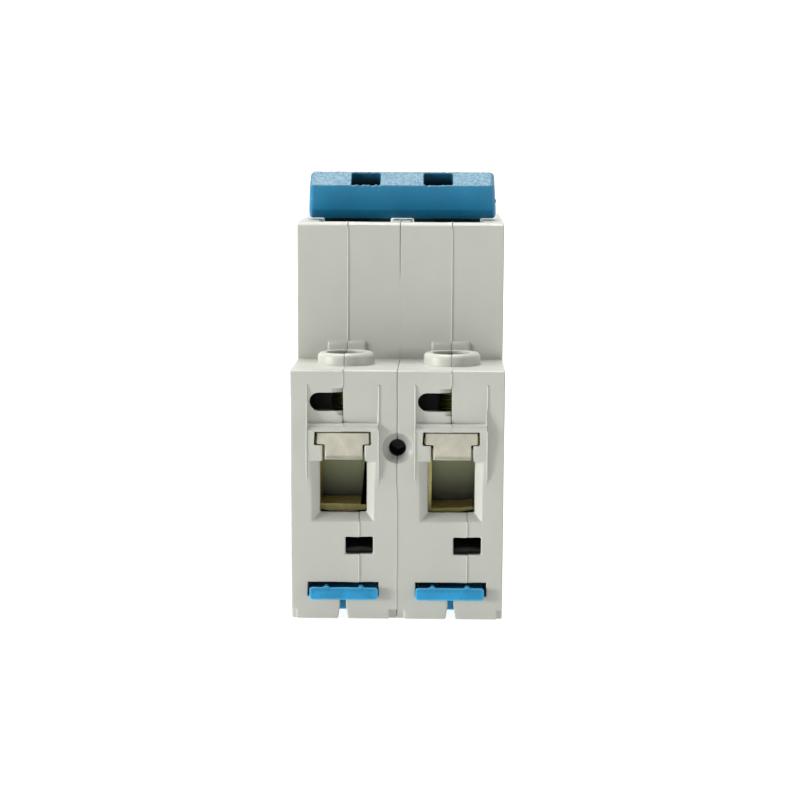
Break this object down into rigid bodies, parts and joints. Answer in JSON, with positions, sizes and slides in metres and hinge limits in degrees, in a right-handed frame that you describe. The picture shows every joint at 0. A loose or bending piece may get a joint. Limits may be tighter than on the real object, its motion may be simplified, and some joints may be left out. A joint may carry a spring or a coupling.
{
  "type": "circuit breaker",
  "caption": "Rail-mounted modular circuit breaker with joined poles, a shared blue handle, cage screw terminals and sliding rail clips.",
  "frame": {"origin": "middle of the footprint, level with the feet", "axes": "+Z from the rail towards the handle, -Y towards the load terminals and the rail clips, X across the poles"},
  "size_m": [0.0358, 0.0828, 0.0739],
  "materials": {
    "housing": "satin moulded, light warm grey",
    "handle": "blue, smooth sides and a stippled tip",
    "clip": "bright blue, glossy",
    "tinned": "dull tin plate",
    "zinc": "yellow-chromated zinc plate",
    "steel": "plain steel",
    "copper": "bare copper",
    "brass": "bare brass",
    "fibre": "vulcanised fibre and bare steel plates",
    "black": "black moulded plastic",
    "cream": "cream moulded plastic"
  },
  "bodies": {
    "housing": {"housing_left_1": "housing", "housing_right_1": "housing", "load_bar_1": "tinned", "line_bar_1": "tinned", "toggle_spring_1": "steel", "arm_pin_1": "steel", "contact_spring_1": "steel", "fixed_contact_1": "copper", "arc_chute_1": "fibre", "magnet_coil_1": "copper", "coil_bobbin_1": "black", "magnet_yoke_1": "steel", "bimetal_1": "brass", "calibration_screw_1": "brass", "braid_1": "copper", "housing_left_2": "housing", "housing_right_2": "housing", "load_bar_2": "tinned", "line_bar_2": "tinned", "toggle_spring_2": "steel", "arm_pin_2": "steel", "contact_spring_2": "steel", "fixed_contact_2": "copper", "arc_chute_2": "fibre", "magnet_coil_2": "copper", "coil_bobbin_2": "black", "magnet_yoke_2": "steel", "bimetal_2": "brass", "calibration_screw_2": "brass", "braid_2": "copper", "rivet_1": "steel", "rivet_2": "steel", "rivet_3": "steel", "rivet_4": "steel"},
    "handle": {"tie_handle": "handle", "tie_pin": "steel", "toggle_1": "handle", "toggle_2": "handle"},
    "trip_bar": {"trip_lever_1": "cream", "trip_lever_2": "cream", "trip_shaft": "steel"},
    "contact_arm_1": {"moving_contact_1": "copper", "contact_carrier_1": "cream"},
    "link_1": {"link_1": "steel"},
    "plunger_1": {"plunger_1": "brass"},
    "rail_clip_1": {"rail_clip_1": "clip"},
    "load_screw_1": {"load_screw_1": "zinc"},
    "load_cage_1": {"load_cage_1": "zinc"},
    "line_screw_1": {"line_screw_1": "zinc"},
    "line_cage_1": {"line_cage_1": "zinc"},
    "contact_arm_2": {"moving_contact_2": "copper", "contact_carrier_2": "cream"},
    "link_2": {"link_2": "steel"},
    "plunger_2": {"plunger_2": "brass"},
    "rail_clip_2": {"rail_clip_2": "clip"},
    "load_screw_2": {"load_screw_2": "zinc"},
    "load_cage_2": {"load_cage_2": "zinc"},
    "line_screw_2": {"line_screw_2": "zinc"},
    "line_cage_2": {"line_cage_2": "zinc"}
  },
  "joints": [
    {"name": "handle_swing", "type": "hinge", "parent": "housing", "child": "handle", "pos_m": [0, 0, 0.0545], "axis": [-1, 0, 0], "range_deg": [0, 64]},
    {"name": "trip_swing", "type": "hinge", "parent": "housing", "child": "trip_bar", "pos_m": [0, -0.011, 0.036], "axis": [-1, 0, 0], "range_deg": [0, 8], "stiffness_Nm_per_rad": 0.01, "springref_deg": -2.86},
    {"name": "contact_arm_swing_1", "type": "hinge", "parent": "housing", "child": "contact_arm_1", "pos_m": [-0.009, 0.006, 0.032], "axis": [1, 0, 0], "range_deg": [0, 24]},
    {"name": "link_swing_1", "type": "hinge", "parent": "handle", "child": "link_1", "pos_m": [-0.009, 0.00491, 0.05024], "axis": [1, 0, 0], "range_deg": [0, 85]},
    {"name": "plunger_slide_1", "type": "slide", "parent": "housing", "child": "plunger_1", "axis": [0, -1, 0], "range_m": [0, 0.0029]},
    {"name": "rail_clip_slide_1", "type": "slide", "parent": "housing", "child": "rail_clip_1", "axis": [0, -1, 0], "range_m": [0, 0.0035], "stiffness_N_per_m": 800, "springref_m": -0.0005},
    {"name": "load_screw_turn_1", "type": "hinge", "parent": "housing", "child": "load_screw_1", "pos_m": [-0.009, -0.0303, 0.035], "axis": [0, 0, -1], "range_deg": [0, 3240]},
    {"name": "load_cage_slide_1", "type": "slide", "parent": "housing", "child": "load_cage_1", "axis": [0, 0, 1], "range_m": [0, 0.0072]},
    {"name": "line_screw_turn_1", "type": "hinge", "parent": "housing", "child": "line_screw_1", "pos_m": [-0.009, 0.0303, 0.035], "axis": [0, 0, -1], "range_deg": [0, 3240]},
    {"name": "line_cage_slide_1", "type": "slide", "parent": "housing", "child": "line_cage_1", "axis": [0, 0, 1], "range_m": [0, 0.0072]},
    {"name": "contact_arm_swing_2", "type": "hinge", "parent": "housing", "child": "contact_arm_2", "pos_m": [0.009, 0.006, 0.032], "axis": [1, 0, 0], "range_deg": [0, 24]},
    {"name": "link_swing_2", "type": "hinge", "parent": "handle", "child": "link_2", "pos_m": [0.009, 0.00491, 0.05024], "axis": [1, 0, 0], "range_deg": [0, 85]},
    {"name": "plunger_slide_2", "type": "slide", "parent": "housing", "child": "plunger_2", "axis": [0, -1, 0], "range_m": [0, 0.0029]},
    {"name": "rail_clip_slide_2", "type": "slide", "parent": "housing", "child": "rail_clip_2", "axis": [0, -1, 0], "range_m": [0, 0.0035], "stiffness_N_per_m": 800, "springref_m": -0.0005},
    {"name": "load_screw_turn_2", "type": "hinge", "parent": "housing", "child": "load_screw_2", "pos_m": [0.009, -0.0303, 0.035], "axis": [0, 0, -1], "range_deg": [0, 3240]},
    {"name": "load_cage_slide_2", "type": "slide", "parent": "housing", "child": "load_cage_2", "axis": [0, 0, 1], "range_m": [0, 0.0072]},
    {"name": "line_screw_turn_2", "type": "hinge", "parent": "housing", "child": "line_screw_2", "pos_m": [0.009, 0.0303, 0.035], "axis": [0, 0, -1], "range_deg": [0, 3240]},
    {"name": "line_cage_slide_2", "type": "slide", "parent": "housing", "child": "line_cage_2", "axis": [0, 0, 1], "range_m": [0, 0.0072]}
  ],
  "couplings": [
    {"joint": "contact_arm_swing_1", "follows": "handle_swing", "ratio": 0.375},
    {"joint": "link_swing_1", "follows": "handle_swing", "ratio": 1.317},
    {"joint": "trip_swing", "follows": "plunger_slide_1", "rad_per_m": 48.1},
    {"joint": "load_screw_turn_1", "follows": "load_cage_slide_1", "rad_per_m": 7853.9},
    {"joint": "line_screw_turn_1", "follows": "line_cage_slide_1", "rad_per_m": 7853.9},
    {"joint": "contact_arm_swing_2", "follows": "handle_swing", "ratio": 0.375},
    {"joint": "link_swing_2", "follows": "handle_swing", "ratio": 1.317},
    {"joint": "plunger_slide_2", "follows": "plunger_slide_1", "ratio": 1},
    {"joint": "load_screw_turn_2", "follows": "load_cage_slide_2", "rad_per_m": 7853.9},
    {"joint": "line_screw_turn_2", "follows": "line_cage_slide_2", "rad_per_m": 7853.9}
  ]
}
